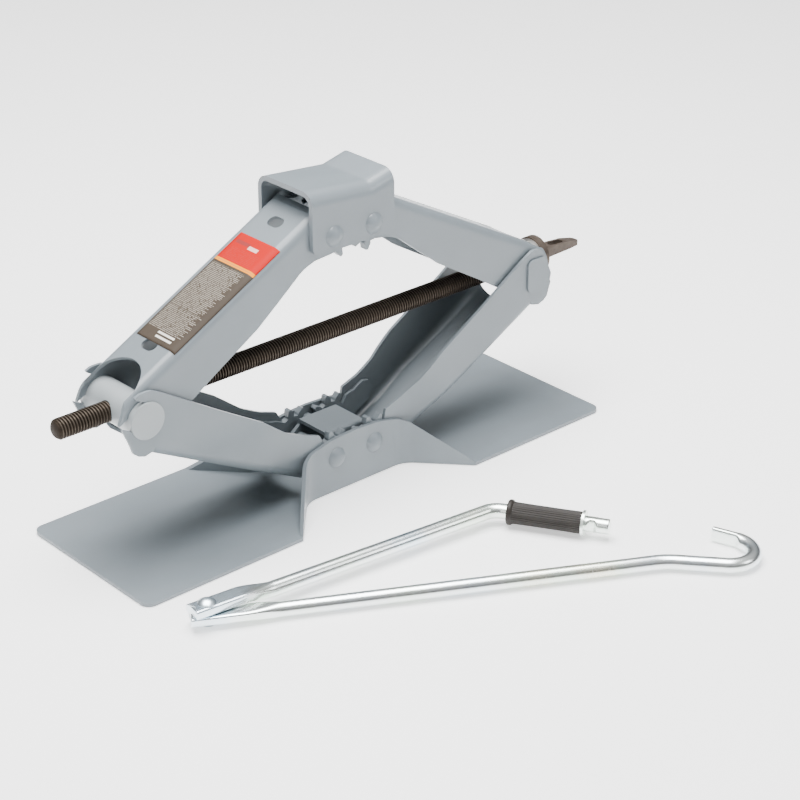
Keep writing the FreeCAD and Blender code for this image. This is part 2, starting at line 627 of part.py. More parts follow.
# ---------------------------------------------------------------- trunnions and screw
def trunnion_nut():
    """A round bar with a threaded cross hole, held in the hooks of the left arms."""
    body = new_body("trunnion_nut")
    end = sketch_on(body, "bar_outline", "XZ_Plane")
    circle(end, "0", "0", "nut_radius")
    pad(body, "bar", end, "2 * (" + WIDE_OUTER + " + trunnion_proud)", both=True)
    hole = sketch_on(body, "screw_hole", "YZ_Plane")
    circle(hole, "0", "0", "screw_radius + screw_gap")
    pocket(body, "screw_bore", hole)
    fillet(body, "rim", "0.8", lambda edge: edge.Closed and near(edge.BoundBox.YLength, 0)
           and near(edge.BoundBox.XLength / 2, size("nut_radius")))
    place(body, "-" + TRUNNION_X, "0", TRUNNION_Z)
    return body


def trunnion_bearing():
    """A round block between the right arms, with turned journals and staked flat heads."""
    body = new_body("trunnion_bearing")
    block = sketch_on(body, "block_outline", "XZ_Plane")
    circle(block, "0", "0", "nut_radius")
    pad(body, "block", block, "2 * (" + ARM_INNER + " - side_gap)", both=True)
    journal = sketch_on(body, "journal_outline", "XZ_Plane")
    circle(journal, "0", "0", "journal_radius")
    pad(body, "journals", journal, "2 * (" + WIDE_OUTER + " + side_gap)", both=True)
    for name, way in (("front", ""), ("back", "-")):
        face = sketch_on(body, name + "_head_outline", "XZ_Plane", way + "(" + WIDE_OUTER + " + side_gap)")
        rectangle(face, "-head_across / 2", "-head_tall / 2", "head_across / 2", "head_tall / 2")
        pad(body, name + "_head", face, "trunnion_proud", back=way == "-")
    corners = [(x + "head_across / 2", z + "head_tall / 2") for x in ("", "-") for z in ("", "-")]
    fillet(body, "head_rounds", "head_round", crosswise(corners))
    flat = sketch_on(body, "thrust_flat", "XZ_Plane")
    rectangle(flat, "block_flat", "-nut_radius - 5", "nut_radius + 5", "nut_radius + 5")
    cut = body.newObject("PartDesign::Pocket", "thrust_face")
    cut.Profile = flat
    cut.SideType = "Symmetric"
    tie(cut, "Length", "2 * (" + ARM_INNER + ")")
    doc.recompute()
    hole = sketch_on(body, "screw_hole", "YZ_Plane")
    circle(hole, "0", "0", "screw_radius + screw_gap")
    pocket(body, "screw_bore", hole)
    place(body, TRUNNION_X, "0", TRUNNION_Z)
    return body


def ring(label, inner, outer, start, thickness):
    """A flat ring round the screw, its near face at start from the right trunnion."""
    body = new_body(label)
    face = sketch_on(body, "ring_outline", "YZ_Plane")
    circle(face, "0", "0", outer)
    circle(face, "0", "0", inner)
    pad(body, "ring", face, thickness)
    place(body, TRUNNION_X + " + " + start, "0", TRUNNION_Z)
    return body


def thrust_stack():
    """Race, caged balls, race and washer between the bearing block and the collar."""
    bore = "screw_radius + screw_gap"
    balls_at = "block_flat + race_sheet + ball_radius"
    made = [ring("thrust_race_rear", bore, "race_radius", "block_flat", "race_sheet"),
            ring("thrust_race_front", "screw_radius", "race_radius",
                 "block_flat + race_sheet + 2 * ball_radius", "race_sheet"),
            ring("thrust_washer", "screw_radius", "race_radius",
                 "block_flat + 2 * race_sheet + 2 * ball_radius", "washer_sheet")]
    cage = Part.makeCylinder(size("ball_ring + 2.8"), size("cage_sheet"), Vector(-size("cage_sheet") / 2, 0, 0),
                             Vector(1, 0, 0))
    cage = cage.cut(Part.makeCylinder(size("screw_radius + 0.5"), 10, Vector(-5, 0, 0), Vector(1, 0, 0)))
    balls = []
    for turn in range(0, 360, 30):
        angle = math.radians(turn)
        spot = Vector(0, math.cos(angle), math.sin(angle)) * size("ball_ring")
        balls.append(Part.makeSphere(size("ball_radius - 0.02"), spot))
    caged = doc.addObject("Part::Feature", "thrust_balls")
    caged.Label = "thrust_balls"
    caged.Shape = cage.fuse(balls)
    place(caged, TRUNNION_X + " + " + balls_at, "0", TRUNNION_Z)
    return made + [caged]


COLLAR_AT = "(block_flat + 2 * race_sheet + 2 * ball_radius + washer_sheet)"


def lead_screw():
    screw = doc.addObject("Part::Cylinder", "lead_screw")
    screw.Label = "lead_screw"
    tie(screw, "Radius", "screw_radius")
    tie(screw, "Height", "2 * %s + screw_stub + %s" % (TRUNNION_X, COLLAR_AT))
    place(screw, "-" + TRUNNION_X + " - screw_stub", "0", TRUNNION_Z, FreeCAD.Rotation(Vector(0, 1, 0), 90))
    return screw


def drive_eye():
    """A forged collar with a flat tapered eye; the slot takes the crank's flattened tip."""
    body = new_body("drive_eye")
    disc = sketch_on(body, "collar_outline", "YZ_Plane")
    circle(disc, "0", "0", "collar_radius")
    pad(body, "collar", disc, "collar_sheet")
    plan = sketch_on(body, "eye_outline", "XY_Plane")
    polygon(plan, [("collar_sheet / 2", "-eye_root / 2"), ("eye_length + collar_sheet", "-eye_tip / 2"),
                   ("eye_length + collar_sheet", "eye_tip / 2"), ("collar_sheet / 2", "eye_root / 2")])
    pad(body, "eye", plan, "eye_sheet", both=True)
    tips = [("eye_length + collar_sheet", w + "eye_tip / 2") for w in ("", "-")]
    fillet(body, "eye_tip_rounds", "eye_tip_round", upright(tips))
    slot = sketch_on(body, "slot_outline", "XY_Plane")
    rectangle(slot, "collar_sheet + eye_slot_start", "-eye_slot_width / 2",
              "collar_sheet + eye_slot_end", "eye_slot_width / 2")
    pocket(body, "slot", slot)
    ends = [("collar_sheet + " + x, y + "eye_slot_width / 2")
            for x in ("eye_slot_start", "eye_slot_end") for y in ("", "-")]
    fillet(body, "slot_rounds", "eye_slot_width / 2 - 0.1", upright(ends))
    trim = sketch_on(body, "taper_outline", "XZ_Plane")
    past = "eye_length + collar_sheet + 1"
    polygon(trim, [("eye_taper_start", "eye_sheet / 2"), ("eye_taper_mid", "eye_sheet / 2 - 1"),
                   (past, "eye_tip_top"), (past, "eye_sheet"), ("eye_taper_start", "eye_sheet")])
    polygon(trim, [("eye_taper_mid", "-eye_sheet / 2"), (past, "eye_tip_low"), (past, "-eye_sheet"),
                   ("eye_taper_mid", "-eye_sheet")])
    pocket(body, "eye_taper", trim)
    place(body, TRUNNION_X + " + " + COLLAR_AT, "0", TRUNNION_Z)
    return body


def arm_label():
    """A thin blank sticker on the flat of the upper left arm."""
    label = doc.addObject("Part::Box", "arm_label")
    label.Label = "arm_label"
    tie(label, "Length", "label_end - label_start")
    tie(label, "Width", "2 * label_half")
    tie(label, "Height", "label_sheet")
    turn = leaning(-1, -1)
    corner = turn.multVec(Vector(size("label_start"), -size("label_half"), size("upper_depth")))
    pin = Vector(-size("pin_spread"), 0, size(TOP_PIN_Z))
    label.Placement = FreeCAD.Placement(pin + corner, turn)
    return label


# ---------------------------------------------------------------- crank
def walk(sketch, start, heading, steps):
    """A smooth path of straight runs and bends; a bend is a radius and a turn in degrees."""
    for kind, first, turn in steps:
        ahead = Vector(math.cos(heading), math.sin(heading), 0)
        if kind == "run":
            end = start + ahead * first
            sketch.addGeometry(Part.LineSegment(start, end))
        else:
            way = 1 if turn > 0 else -1
            centre = start + Vector(-ahead.y, ahead.x, 0) * first * way
            angle = math.radians(turn)
            spoke = start - centre

            def swung(part):
                c, s = math.cos(angle * part), math.sin(angle * part)
                return centre + Vector(spoke.x * c - spoke.y * s, spoke.x * s + spoke.y * c, 0)

            end = swung(1.0)
            sketch.addGeometry(Part.Arc(start, swung(0.5), end))
            heading += angle
        start = end
    for i in range(sketch.GeometryCount):
        sketch.addConstraint(Sketcher.Constraint("Block", i))
    return start, heading


def rod_blank(body, steps, tab_level):
    """The round rod of a crank piece: a flattened tab at the hinge, a taper, then the path."""
    tab = sketch_on(body, "tab_outline", "XY_Plane", tab_level + " - tab_sheet / 2")
    polygon(tab, [("-tab_end", "-tab_half"), ("tab_neck", "-tab_half"), ("tab_neck", "tab_half"),
                  ("-tab_end", "tab_half"), ("-tab_end + tab_notch", "0")])
    pad(body, "tab", tab, "tab_sheet")
    ends = [("-tab_end", w + "tab_half") for w in ("", "-")]
    fillet(body, "tab_rounds", "2.5", upright(ends))
    flat = sketch_on(body, "taper_start", "YZ_Plane", "tab_neck - 1")
    level = size(tab_level)
    oval = Part.Ellipse(Vector(0, level, 0), size("tab_half - 0.2"), size("tab_sheet / 2 - 0.1"))
    flat.addGeometry(oval)
    flat.addConstraint(Sketcher.Constraint("Block", 0))
    round_end = sketch_on(body, "taper_end", "YZ_Plane", "tab_neck + tab_taper")
    circle(round_end, "0", "0", "rod_radius")
    taper = body.newObject("PartDesign::AdditiveLoft", "taper")
    taper.Profile = flat
    taper.Sections = [round_end]
    sound(taper, body)
    section = sketch_on(body, "rod_section", "YZ_Plane", "tab_neck + tab_taper")
    circle(section, "0", "0", "rod_radius")
    path = sketch_on(body, "rod_path", "XY_Plane")
    start = Vector(size("tab_neck + tab_taper"), 0, 0)
    end, heading = walk(path, start, 0.0, steps)
    pipe = body.newObject("PartDesign::AdditivePipe", "rod")
    pipe.Profile = section
    pipe.Spine = (path, ["Edge%d" % (i + 1) for i in range(path.GeometryCount)])
    sound(pipe, body)
    return end, heading


def crank_rod():
    """The long rod: straight, a slight kink, then a hook whose tip is pressed flat."""
    body = new_body("crank_rod")
    straight = size("rod_length - tab_neck - tab_taper")
    steps = [("run", straight, 0), ("bend", size("kink_bend"), size("kink_turn")), ("run", size("kink_run"), 0),
             ("bend", size("hook_bend"), size("hook_turn")), ("run", size("hook_run"), 0)]
    end, heading = rod_blank(body, steps, "tab_rise")
    for name, way in (("inner", 1), ("outer", -1)):
        press = sketch_on(body, name + "_press", "XY_Plane")
        ahead = Vector(math.cos(heading), math.sin(heading), 0)
        aside = Vector(-ahead.y, ahead.x, 0) * way
        spots = [end + ahead * 2 + aside * size("hook_flat"), end + ahead * 2 + aside * 9,
                 end - ahead * size("hook_flat_length") + aside * 9,
                 end - ahead * size("hook_flat_length") + aside * size("hook_flat")]
        for i, spot in enumerate(spots):
            press.addGeometry(Part.LineSegment(spot, spots[(i + 1) % 4]))
            press.addConstraint(Sketcher.Constraint("Block", i))
        pocket(body, name + "_flat", press)
    hole = sketch_on(body, "hinge_hole", "XY_Plane")
    circle(hole, "0", "0", "hinge_radius")
    pocket(body, "hinge_bore", hole)
    place(body, "hinge_x", "hinge_y", "rod_radius", FreeCAD.Rotation(Vector(0, 0, 1), size("rod_turn")))
    return body


def arm_path():
    run = size("arm_run - tab_neck - tab_taper")
    tail = size("grip_start + grip_length + grip_washer_sheet + arm_tail + 2 * grip_gap")
    return [("run", run, 0), ("bend", size("arm_corner_bend"), size("arm_corner_turn")), ("run", tail, 0)]


def crank_arm():
    """The short rod: it ends in a bend that carries the grip and is pinched past the washer."""
    body = new_body("crank_arm")
    level = "rod_radius + tab_rise + tab_sheet + tab_gap - arm_axis_height"
    end, heading = rod_blank(body, arm_path(), level)
    hole = sketch_on(body, "hinge_hole", "XY_Plane")
    circle(hole, "0", "0", "hinge_radius + pin_gap")
    pocket(body, "hinge_bore", hole)
    place(body, "hinge_x", "hinge_y", "arm_axis_height", FreeCAD.Rotation(Vector(0, 0, 1), size("arm_turn")))
    ahead = Vector(math.cos(heading), math.sin(heading), 0)
    turn = body.Placement.Rotation
    tail_end = body.Placement.multVec(end)
    return body, tail_end, turn.multVec(ahead)


def crank_rivet():
    """The hinge pin through both tabs, standing upright with a head at each end."""
    tabs = "(tab_sheet + tab_gap / 2)"
    part = rivet("crank_rivet", tabs, "hinge_radius", "hinge_head_radius", "hinge_head_height")
    place(part, "hinge_x", "hinge_y", "rod_radius + tab_rise - tab_sheet / 2 + " + tabs)
    return part


def grip_and_washer(tail_end, ahead):
    """The turning grip and its washer, on the tail of the crank's arm."""
    turn = FreeCAD.Rotation(Vector(1, 0, 0), ahead)
    bore = "rod_radius + grip_gap"
    grip = new_body("grip")
    outline = sketch_on(grip, "half_outline", "XY_Plane")
    polygon(outline, [("0", bore), ("grip_length", bore), ("grip_length", "grip_radius"),
                      ("grip_lip", "grip_radius"), ("grip_lip / 2", "grip_lip_radius"), ("0", "grip_lip_radius")])
    spin(grip, "turned", outline)
    back = "(grip_length + grip_washer_sheet + arm_tail + grip_gap)"
    grip.Placement = FreeCAD.Placement(tail_end - ahead * size(back), turn)
    washer = new_body("grip_washer")
    face = sketch_on(washer, "ring_outline", "YZ_Plane")
    circle(face, "0", "0", "grip_washer_radius")
    circle(face, "0", "0", "rod_radius")
    pad(washer, "ring", face, "grip_washer_sheet")
    back = "(grip_washer_sheet + arm_tail)"
    washer.Placement = FreeCAD.Placement(tail_end - ahead * size(back), turn)
    return [grip, washer]


# ---------------------------------------------------------------- build, check and write
parts = [base_plate(), base_spacer(), saddle(), trunnion_nut(), trunnion_bearing(), lead_screw(), drive_eye(),
         arm_label(), crank_rod(), crank_rivet()]
parts += pin_rivets() + arms() + thrust_stack()
short_rod, tail_end, ahead = crank_arm()
parts += [short_rod] + grip_and_washer(tail_end, ahead)
doc.recompute()

for item in doc.Objects:
    if "Invalid" in item.State or "Error" in item.State:
        raise RuntimeError("%s did not build: %s" % (item.Label, item.State))
os.makedirs("parts", exist_ok=True)
for part in parts:
    if part.Shape.isNull() or not part.Shape.isValid():
        raise RuntimeError(part.Label + " has no valid shape")
    part.Shape.exportStep("parts/%s.step" % part.Label)
print(len(parts), "parts written")
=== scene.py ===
"""Scissor stabilizer jack: finishes, turned details, studio light and camera.  Metres."""
import json
import math

import bpy
import numpy as np
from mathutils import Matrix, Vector

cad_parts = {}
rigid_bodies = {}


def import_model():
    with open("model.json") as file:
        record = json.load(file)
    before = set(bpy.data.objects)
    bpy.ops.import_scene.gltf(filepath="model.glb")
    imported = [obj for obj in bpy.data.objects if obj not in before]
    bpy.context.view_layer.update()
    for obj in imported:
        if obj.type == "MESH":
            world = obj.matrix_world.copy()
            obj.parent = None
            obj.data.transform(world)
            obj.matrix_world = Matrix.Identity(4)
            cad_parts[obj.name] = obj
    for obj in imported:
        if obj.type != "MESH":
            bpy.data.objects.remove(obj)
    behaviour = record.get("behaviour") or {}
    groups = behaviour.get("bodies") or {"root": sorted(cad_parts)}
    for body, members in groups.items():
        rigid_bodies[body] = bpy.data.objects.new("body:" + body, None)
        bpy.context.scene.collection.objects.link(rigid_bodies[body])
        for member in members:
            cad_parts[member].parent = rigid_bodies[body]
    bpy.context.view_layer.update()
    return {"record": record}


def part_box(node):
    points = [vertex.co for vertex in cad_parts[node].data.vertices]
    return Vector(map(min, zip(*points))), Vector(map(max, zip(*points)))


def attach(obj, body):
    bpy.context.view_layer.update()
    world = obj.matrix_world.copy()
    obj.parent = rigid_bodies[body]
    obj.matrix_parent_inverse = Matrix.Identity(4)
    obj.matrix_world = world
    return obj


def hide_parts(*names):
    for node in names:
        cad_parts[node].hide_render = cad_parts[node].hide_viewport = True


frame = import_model()
MM = 0.001


# ---------------------------------------------------------------- shader tools
class Flow:
    """A value inside a material: arithmetic on it adds Math nodes."""

    def __init__(self, finish, socket):
        self.finish, self.socket = finish, socket

    def math(self, operation, *others, flip=False):
        values = [self, *others]
        if flip:
            values.reverse()
        return self.finish.node("Math", {"operation": operation}, dict(enumerate(values)))

    def __add__(self, other): return self.math("ADD", other)
    def __sub__(self, other): return self.math("SUBTRACT", other)
    def __mul__(self, other): return self.math("MULTIPLY", other)
    def __truediv__(self, other): return self.math("DIVIDE", other)
    def __radd__(self, other): return self.math("ADD", other)
    def __rmul__(self, other): return self.math("MULTIPLY", other)
    def __rsub__(self, other): return self.math("SUBTRACT", other, flip=True)
    def above(self, edge): return self.math("GREATER_THAN", edge)
    def below(self, edge): return self.math("LESS_THAN", edge)
    def floor(self): return self.math("FLOOR")
    def part(self): return self.math("FRACT")
    def least(self, other): return self.math("MINIMUM", other)
    def most(self, other): return self.math("MAXIMUM", other)


class Finish:
    """A material with one Principled shader; constants sit on the shader's own sockets."""

    def __init__(self, name, **constants):
        self.material = bpy.data.materials.new(name)
        self.material.use_nodes = True
        self.tree = self.material.node_tree
        self.shader = next(n for n in self.tree.nodes if n.type == "BSDF_PRINCIPLED")
        for socket, value in constants.items():
            self.shader.inputs[socket.replace("_", " ")].default_value = value

    def node(self, kind, settings=None, inputs=None, out=0):
        """Add one node: settings first, then the values or links of its sockets."""
        node = self.tree.nodes.new("ShaderNode" + kind)
        for key, value in (settings or {}).items():
            if key == "stops":
                while len(node.color_ramp.elements) < len(value):
                    node.color_ramp.elements.new(0.5)
                for element, (place, colour) in zip(node.color_ramp.elements, value):
                    element.position, element.color = place, (*colour, 1.0)
            else:
                setattr(node, key, value)
        for socket, value in (inputs or {}).items():
            if isinstance(value, Flow):
                self.tree.links.new(value.socket, node.inputs[socket])
            else:
                node.inputs[socket].default_value = value
        return Flow(self, node.outputs[out])

    def place(self, source="Object"):
        return self.node("TexCoord", out=source)

    def axes(self, vector):
        split = self.node("SeparateXYZ", None, {0: vector})
        outputs = split.socket.node.outputs
        return [Flow(self, outputs[i]) for i in range(3)]

    def noise(self, vector, scale, detail=3.0, rough=0.5, stretch=None):
        if stretch:
            vector = self.node("Mapping", None, {"Vector": vector, "Scale": stretch})
        return self.node("TexNoise", None, {"Vector": vector, "Scale": scale, "Detail": detail,
                                            "Roughness": rough})

    def ramp(self, value, *stops):
        return self.node("ValToRGB", {"stops": stops}, {0: value})

    def blend(self, factor, low, high, mode="MIX"):
        low = low if isinstance(low, Flow) else (*low, 1.0)
        high = high if isinstance(high, Flow) else (*high, 1.0)
        return self.node("Mix", {"data_type": "RGBA", "blend_type": mode},
                         {0: factor, 6: low, 7: high}, out=2)

    def bump(self, height, strength, distance):
        normal = self.node("Bump", None, {"Strength": strength, "Distance": distance, "Height": height})
        self.feed("Normal", normal)

    def feed(self, socket, value):
        self.tree.links.new(value.socket, self.shader.inputs[socket])


def between(value, low, high):
    """One inside the band, zero outside."""
    return value.above(low) * value.below(high)


# ---------------------------------------------------------------- finishes
def grey_paint(name, tint=(0.152, 0.178, 0.196)):
    """Satin enamel: soft cloudy tone, a fine orange peel and faint rub marks along X."""
    paint = Finish(name, Coat_Roughness=0.14, Specular_IOR_Level=0.5)
    at = paint.place()
    cloud = paint.noise(at, 9.0, 4.0)
    fine = paint.noise(at, 160.0, 3.0, 0.6)
    rub = paint.noise(at, 60.0, 5.0, 0.65, stretch=(0.35, 1.0, 1.0))
    dull = tuple(0.90 * c for c in tint)
    pale = tuple(min(1.0, 1.07 * c) for c in tint)
    tone = paint.ramp(cloud * 0.75 + rub * 0.25, (0.34, dull), (0.66, pale))
    paint.feed("Base Color", tone)
    paint.feed("Roughness", 0.38 + 0.16 * rub + 0.06 * fine)
    paint.feed("Coat Weight", 0.30 + 0.15 * cloud)
    paint.bump(fine * 0.6 + paint.noise(at, 900.0, 2.0) * 0.4, 0.10, 0.0006)
    return paint.material


def dark_screw_steel(name):
    """Oil-blackened bar: brown bloom, worn bright crests picked out by distance from the axis."""
    steel = Finish(name, Metallic=0.85, Specular_IOR_Level=0.5)
    at = steel.place()
    grain = steel.noise(at, 420.0, 4.0, 0.6)
    bloom = steel.noise(at, 45.0, 5.0, 0.6)
    y, z = steel.axes(at)[1:]
    off = z - SCREW_Z
    radius = (y * y + off * off).math("SQRT")
    worn_from, worn_over = 7.55 * MM, 0.4 * MM
    crest = ((radius - worn_from) / worn_over).least(1.0).most(0.0)
    base = steel.ramp(bloom, (0.3, (0.018, 0.013, 0.009)), (0.7, (0.045, 0.034, 0.025)))
    worn = steel.blend(crest * (0.30 + 0.45 * grain), base, (0.12, 0.098, 0.078))
    steel.feed("Base Color", worn)
    steel.feed("Roughness", 0.62 - 0.20 * crest + 0.15 * grain)
    steel.bump(grain, 0.25, 0.0002)
    return steel.material


def dark_forging(name):
    """Forged eye in the same blackened steel, with a rougher scale surface."""
    steel = Finish(name, Metallic=0.7)
    at = steel.place()
    scale = steel.noise(at, 260.0, 5.0, 0.62)
    bloom = steel.noise(at, 60.0, 4.0)
    steel.feed("Base Color", steel.ramp(bloom * 0.6 + scale * 0.4, (0.32, (0.055, 0.042, 0.033)),
                                        (0.68, (0.12, 0.095, 0.078))))
    steel.feed("Roughness", 0.42 + 0.28 * scale)
    steel.bump(scale, 0.35, 0.0003)
    return steel.material


def zinc(name, rough=0.16):
    """Bright zinc plate: cool steel with faint drifts of blue, green and yellow passivation."""
    plate = Finish(name, Metallic=1.0)
    at = plate.place()
    drift = plate.noise(at, 14.0, 3.0)
    speck = plate.noise(at, 700.0, 3.0, 0.6)
    hue = plate.ramp(drift, (0.28, (0.70, 0.82, 0.92)), (0.45, (0.84, 0.88, 0.88)),
                     (0.58, (0.80, 0.88, 0.80)), (0.72, (0.90, 0.87, 0.72)))
    plate.feed("Base Color", hue)
    plate.feed("Roughness", rough + 0.10 * speck + 0.08 * drift)
    plate.bump(speck, 0.06, 0.0002)
    return plate.material


def ground_steel(name):
    """Bright turned ring: fine circular tool marks."""
    steel = Finish(name, Metallic=1.0, Base_Color=(0.72, 0.71, 0.69, 1.0))
    at = steel.place()
    x, y, z = steel.axes(at)
    off = z - SCREW_Z
    radius = (y * y + off * off).math("SQRT")
    marks = steel.noise(steel.node("CombineXYZ", None, {0: radius * 3000.0, 1: x * 3000.0}), 1.0, 2.0)
    steel.feed("Roughness", 0.22 + 0.18 * marks)
    steel.bump(marks, 0.10, 0.0002)
    return steel.material


def grip_rubber(name):
    """Dark moulded grip: brown-black, with streaks along its length."""
    rubber = Finish(name, Specular_IOR_Level=0.3)
    at = rubber.place("UV")
    along = rubber.noise(at, 6.0, 4.0, 0.6, stretch=(0.6, 14.0, 1.0))
    fine = rubber.noise(rubber.place(), 900.0, 3.0)
    tone = rubber.ramp(along, (0.30, (0.008, 0.006, 0.005)), (0.72, (0.022, 0.018, 0.015)))
    rubber.feed("Base Color", tone)
    rubber.feed("Roughness", 0.42 + 0.22 * along)
    rubber.bump(fine, 0.15, 0.0002)
    return rubber.material


def printed_film(name):
    """Sticker print: a red panel, a double yellow rule, and rows of plain pale dashes on brown."""
    film = Finish(name, Specular_IOR_Level=0.15)
    u, v = film.axes(film.place("UV"))[:2]
    red_end, rule_end = 0.235, 0.262
    rows, foot_rows, dash_rows = 80.0, 30.0, 84.0
    word_cells, dash_cells = 64.0, 60.0
    row = (u * rows).floor()
    length = film.node("TexWhiteNoise", {"noise_dimensions": "1D"}, {"W": row})
    line = between((u * rows).part(), 0.30, 0.72)
    cell = film.node("CombineXYZ", None, {0: (v * word_cells + length * 9.0).floor(), 1: row})
    words = film.node("TexWhiteNoise", {"noise_dimensions": "2D"}, {"Vector": cell})
    ink = line * words.above(0.16)
    body = ink * v.above(0.10 + 0.16 * length) * v.below(0.97) * between(u, rule_end + 0.02, 0.90)
    thin = between(u, 0.485, 0.489) + between(u, 0.690, 0.694)
    foot_row = (u * foot_rows).floor()
    foot_line = between((u * foot_rows).part(), 0.25, 0.75)
    foot_seed = film.node("TexWhiteNoise", {"noise_dimensions": "1D"}, {"W": foot_row})
    foot = foot_line * between(u, 0.90, 0.975) * v.above(0.22) * v.below(0.55 + 0.4 * foot_seed)
    brown = film.blend(film.noise(film.place(), 30.0), (0.040, 0.030, 0.022), (0.062, 0.048, 0.036))
    printed = film.blend(body * 0.75, brown, (0.34, 0.31, 0.26))
    printed = film.blend(foot * 0.9, printed, (0.78, 0.74, 0.66))
    printed = film.blend(thin * 0.8, printed, (0.05, 0.04, 0.03))
    cell = film.node("CombineXYZ", None, {0: (v * dash_cells).floor(), 1: (u * dash_rows).floor()})
    seed = film.node("TexWhiteNoise", {"noise_dimensions": "2D"}, {"Vector": cell})
    dashes = between((u * dash_rows).part(), 0.25, 0.65) * seed.above(0.25) * between(v, 0.20, 0.90)
    dashes = dashes * between(u, 0.115, 0.225)
    red = film.blend(film.noise(film.place(), 25.0), (0.40, 0.002, 0.0), (0.46, 0.004, 0.001))
    panel = film.blend(dashes * 0.55, red, (0.34, 0.035, 0.025))
    block = between(u, 0.055, 0.085) * between(v, 0.58, 0.93)
    patch = between(u, 0.070, 0.100) * between(v, 0.34, 0.58)
    panel = film.blend(block * 0.7, panel, (0.16, 0.03, 0.03))
    panel = film.blend(patch * 0.7, panel, (0.90, 0.62, 0.55))
    rule = between(u, red_end, rule_end)
    core = between(u, red_end + 0.010, rule_end - 0.010) * between(v, 0.08, 0.92)
    gold = film.blend(core, (0.75, 0.25, 0.0), (0.52, 0.20, 0.04))
    whole = film.blend(u.above(red_end), panel, printed)
    whole = film.blend(rule, whole, gold)
    film.feed("Base Color", whole)
    film.feed("Roughness", 0.55 + 0.10 * film.noise(film.place(), 300.0))
    return film.material


# ---------------------------------------------------------------- mesh tools
def grid_mesh(name, points, closed_u=False, closed_v=False, uv=None, caps=False):
    """A surface over a grid of points (rows by columns); a cap closes each end of closed rows."""
    rows, cols = points.shape[:2]
    r = np.arange(rows if closed_u else rows - 1)[:, None]
    c = np.arange(cols if closed_v else cols - 1)[None, :]
    r2, c2 = (r + 1) % rows, (c + 1) % cols
    quads = np.stack([r * cols + c, r * cols + c2, r2 * cols + c2, r2 * cols + c], axis=-1).reshape(-1, 4)
    faces = quads.tolist()
    if caps:
        faces.append(list(range(cols))[::-1])
        faces.append([(rows - 1) * cols + k for k in range(cols)])
    mesh = bpy.data.meshes.new(name)
    mesh.from_pydata(points.reshape(-1, 3).tolist(), [], faces)
    if uv is not None:
        layer = mesh.uv_layers.new(name="UVMap")
        index = np.empty(len(mesh.loops), dtype=np.int64)
        mesh.loops.foreach_get("vertex_index", index)
        layer.data.foreach_set("uv", uv.reshape(-1, 2)[index].ravel())
    mesh.validate()
    piece = bpy.data.objects.new(name, mesh)
    bpy.context.collection.objects.link(piece)
    return piece


def smooth(piece, angle=40.0):
    for face in piece.data.polygons:
        face.use_smooth = True
    piece.data.set_sharp_from_angle(angle=math.radians(angle))


def dress(piece, material, body, slot, *nodes):
    """Give a new piece its finish, its body and the CAD nodes that it stands for."""
    piece.data.materials.append(material)
    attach(piece, body)
    if nodes:
        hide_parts(*nodes)


# ---------------------------------------------------------------- places from the frame
joints = {joint["name"]: joint for joint in frame["record"]["behaviour"]["joints"]}
LEFT_TRUNNION = Vector(joints["upper_left_pivot"]["pos_m"])
LEFT_TOP_PIN = Vector(joints["saddle_pivot"]["pos_m"])
GRIP_AXIS = Vector(joints["grip_turn"]["axis"])
SCREW_Z = LEFT_TRUNNION.z
screw_low, screw_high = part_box("lead_screw")
SCREW_RADIUS = (screw_high[1] - screw_low[1]) / 2


def thread_piece():
    """Trapezoidal thread: radius at turn t and length s is a function of the phase s/pitch - t,
    flat at the crest, flat at the root and straight between, fading in over the end chamfer."""
    pitch, depth = 2.5 * MM, 1.35 * MM
    crest, flank = 0.32, 0.34
    bevel, plain = 2.2 * MM, 26.0 * MM
    start, end = screw_low[0], screw_high[0]
    across = 40
    steps = 12
    rows = int(round((end - start) / pitch * steps)) + 1
    s = np.linspace(0.0, end - start, rows)[:, None]
    t = np.linspace(0.0, 1.0, across, endpoint=False)[None, :]
    phase = np.mod(s / pitch - t, 1.0)
    distance = np.abs(phase - 0.5) * 2.0
    wave = np.clip((distance - crest) / flank, 0.0, 1.0)
    radius = SCREW_RADIUS - depth * wave
    chamfer = SCREW_RADIUS - bevel + np.minimum(s, bevel)
    radius = np.minimum(radius, chamfer)
    plain_from = end - start - plain
    radius = np.where(s > plain_from, SCREW_RADIUS, radius)
    x = start + s + 0.0 * t
    angle = 2.0 * np.pi * t + 0.0 * s
    points = np.stack([x, radius * np.cos(angle), SCREW_Z + radius * np.sin(angle)], axis=-1)
    piece = grid_mesh("screw_thread", points, closed_v=True, caps=True)
    smooth(piece, 50.0)
    return piece


